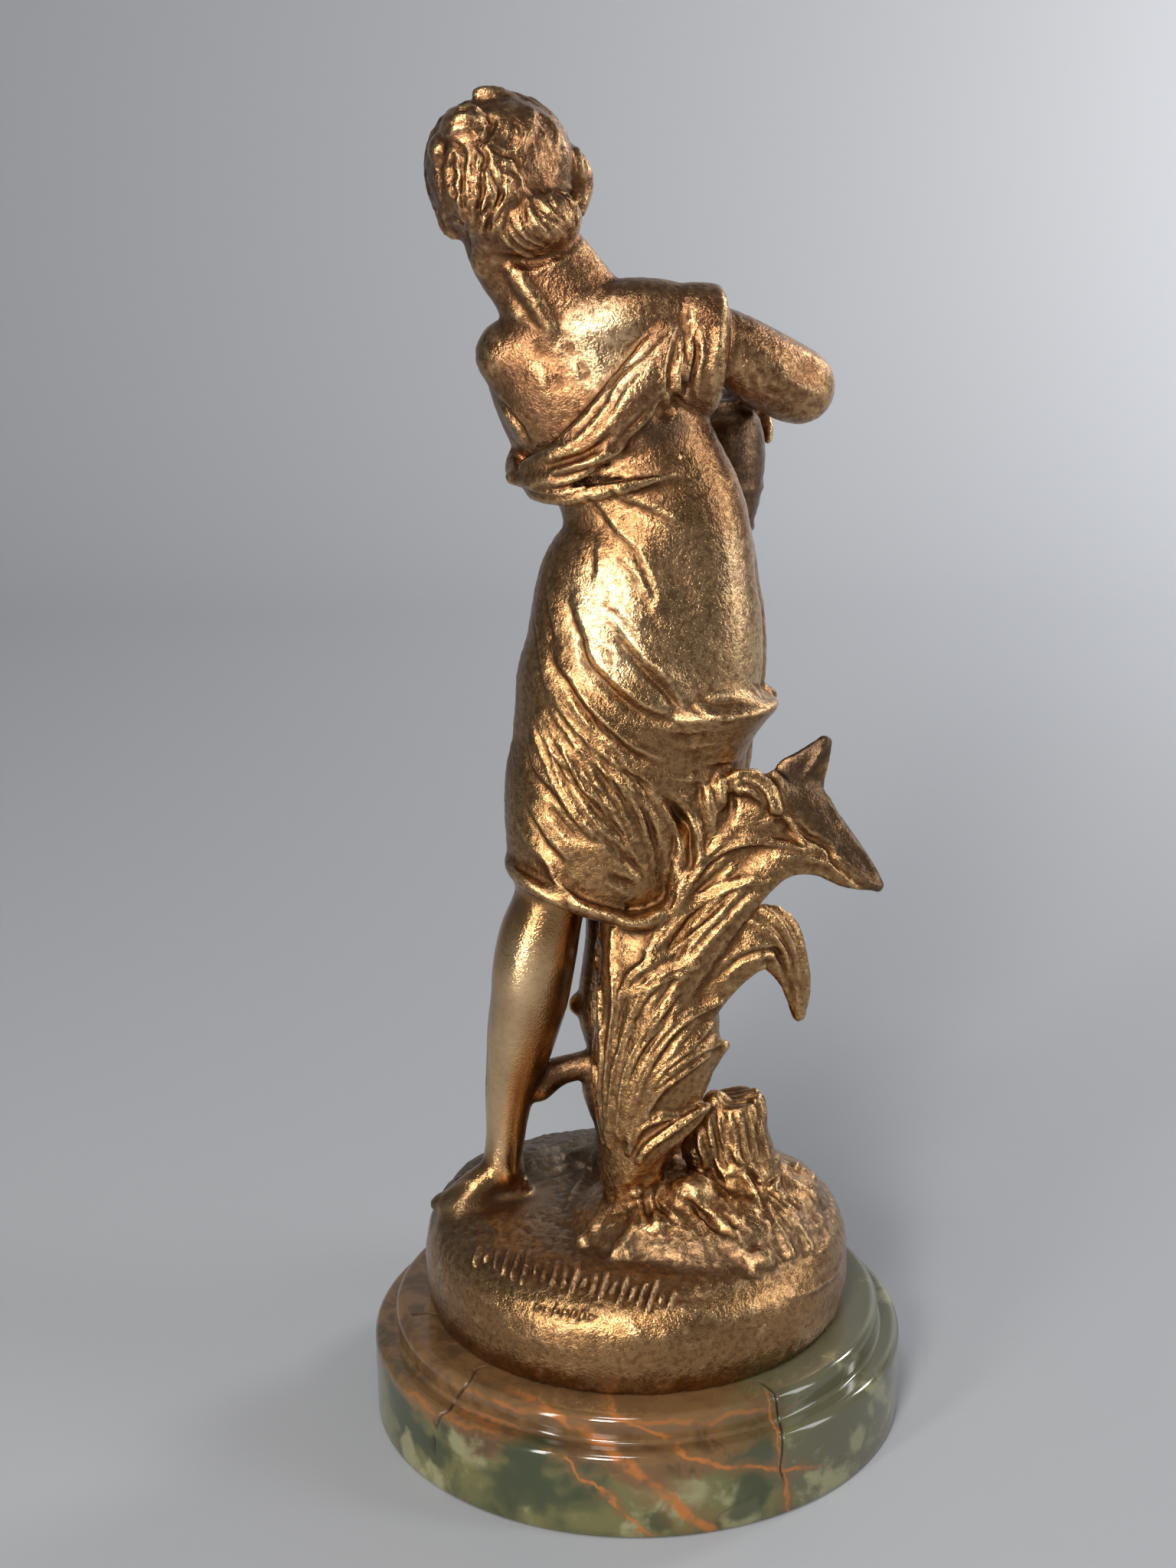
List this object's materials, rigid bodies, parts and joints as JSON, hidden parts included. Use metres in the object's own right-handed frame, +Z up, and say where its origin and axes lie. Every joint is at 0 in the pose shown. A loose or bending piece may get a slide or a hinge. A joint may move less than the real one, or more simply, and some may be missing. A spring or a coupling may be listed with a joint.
{
  "type": "spelter statuette on a stone plinth",
  "caption": "Gilded spelter statuette of a standing girl with a jug among reeds, cast with its ground and set on a round stepped green onyx plinth.",
  "frame": {"origin": "centre of the plinth's underside", "axes": "+Z up through the figure; +Y the way she faces; +X to the right when looking at her back, the side her arm and the reeds reach to"},
  "size_m": [0.1308, 0.1308, 0.3171],
  "materials": {
    "gilded_spelter": "worn gilding over cast zinc alloy, brown in the hollows",
    "green_onyx": "polished, veined"
  },
  "bodies": {
    "root": {"gilded_spelter_figure": "gilded_spelter", "onyx_plinth": "green_onyx"}
  },
  "joints": []
}
